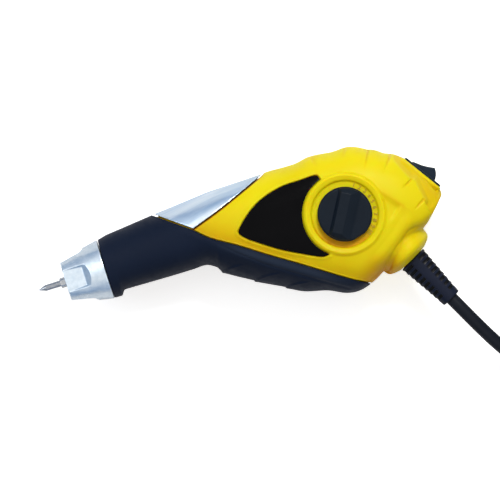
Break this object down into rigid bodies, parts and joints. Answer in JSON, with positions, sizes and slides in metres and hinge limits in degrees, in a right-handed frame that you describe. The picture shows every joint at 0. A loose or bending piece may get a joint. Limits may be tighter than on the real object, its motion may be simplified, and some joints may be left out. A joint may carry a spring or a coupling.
{
  "type": "electric engraving pen",
  "caption": "Hand-held electric engraving pen: a striking needle in a conical nose, a soft grip, a stroke dial, a rocker switch and a coiled mains lead.",
  "frame": {"origin": "middle of the pen's own box, without the lead's free stretch, coil and plug, on the plane that the pen lies on", "axes": "+X from the needle to the cord end, +Y up the pen's back, +Z out of the face that carries the stroke dial"},
  "size_m": [0.3359, 0.1378, 0.0515],
  "materials": {
    "yellow_plastic": "moulded, satin gloss",
    "blue_black_rubber": "soft-touch, matte",
    "silver_paint": "silver lacquer, brushed look",
    "black_panel": "gloss black",
    "turned_aluminium": "turned, satin",
    "sintered_bronze": "sintered, porous",
    "carbide": "ground",
    "bright_steel": "bright",
    "soft_iron": "blued",
    "enamelled_copper": "enamelled wire",
    "natural_nylon": "moulded, matte",
    "black_knob": "moulded, satin",
    "black_switch": "moulded, satin gloss",
    "nickelled_brass": "nickel plated",
    "black_cord": "soft vinyl, matte"
  },
  "bodies": {
    "pen": {"housing_left": "yellow_plastic", "housing_right": "yellow_plastic", "soft_grip_left": "blue_black_rubber", "soft_grip_right": "blue_black_rubber", "top_panel": "silver_paint", "side_panel": "black_panel", "nose_cone": "turned_aluminium", "nose_bush": "sintered_bronze", "return_spring": "bright_steel", "magnet_yoke": "soft_iron", "coil_bobbin": "natural_nylon", "coil_winding": "enamelled_copper", "switch_case": "black_switch", "switch_terminal_1": "nickelled_brass", "switch_terminal_2": "nickelled_brass", "strain_relief": "black_cord", "supply_lead": "black_cord", "cord_clamp": "natural_nylon", "clamp_screw_1": "bright_steel", "clamp_screw_2": "bright_steel", "housing_screw_1": "bright_steel", "housing_screw_2": "bright_steel", "housing_screw_3": "bright_steel", "housing_screw_4": "bright_steel", "cord_free": "black_cord", "cord_coil": "black_cord", "plug_body": "black_cord", "plug_pin_1": "nickelled_brass", "plug_pin_2": "nickelled_brass"},
    "striker": {"engraving_needle": "carbide", "drive_shaft": "bright_steel", "needle_set_screw": "bright_steel", "spring_washer": "bright_steel", "plunger": "soft_iron"},
    "dial": {"dial_knob": "black_knob", "dial_shaft": "bright_steel", "friction_washer": "natural_nylon", "stroke_cam": "natural_nylon"},
    "rocker": {"switch_rocker": "black_switch"}
  },
  "joints": [
    {"name": "stroke_slide", "type": "slide", "parent": "pen", "child": "striker", "axis": [-0.9537, -0.3007, 0], "range_m": [0, 0.0012], "stiffness_N_per_m": 2500, "springref_m": -0.001, "deforming": ["return_spring"]},
    {"name": "dial_turn", "type": "hinge", "parent": "pen", "child": "dial", "pos_m": [0.04483, 0.00519, 0.023], "axis": [0, 0, 1], "range_deg": [-118, 0]},
    {"name": "rocker_tilt", "type": "hinge", "parent": "pen", "child": "rocker", "pos_m": [0.08092, 0.02411, 0.023], "axis": [0, 0, 1], "range_deg": [-46, 0]}
  ]
}
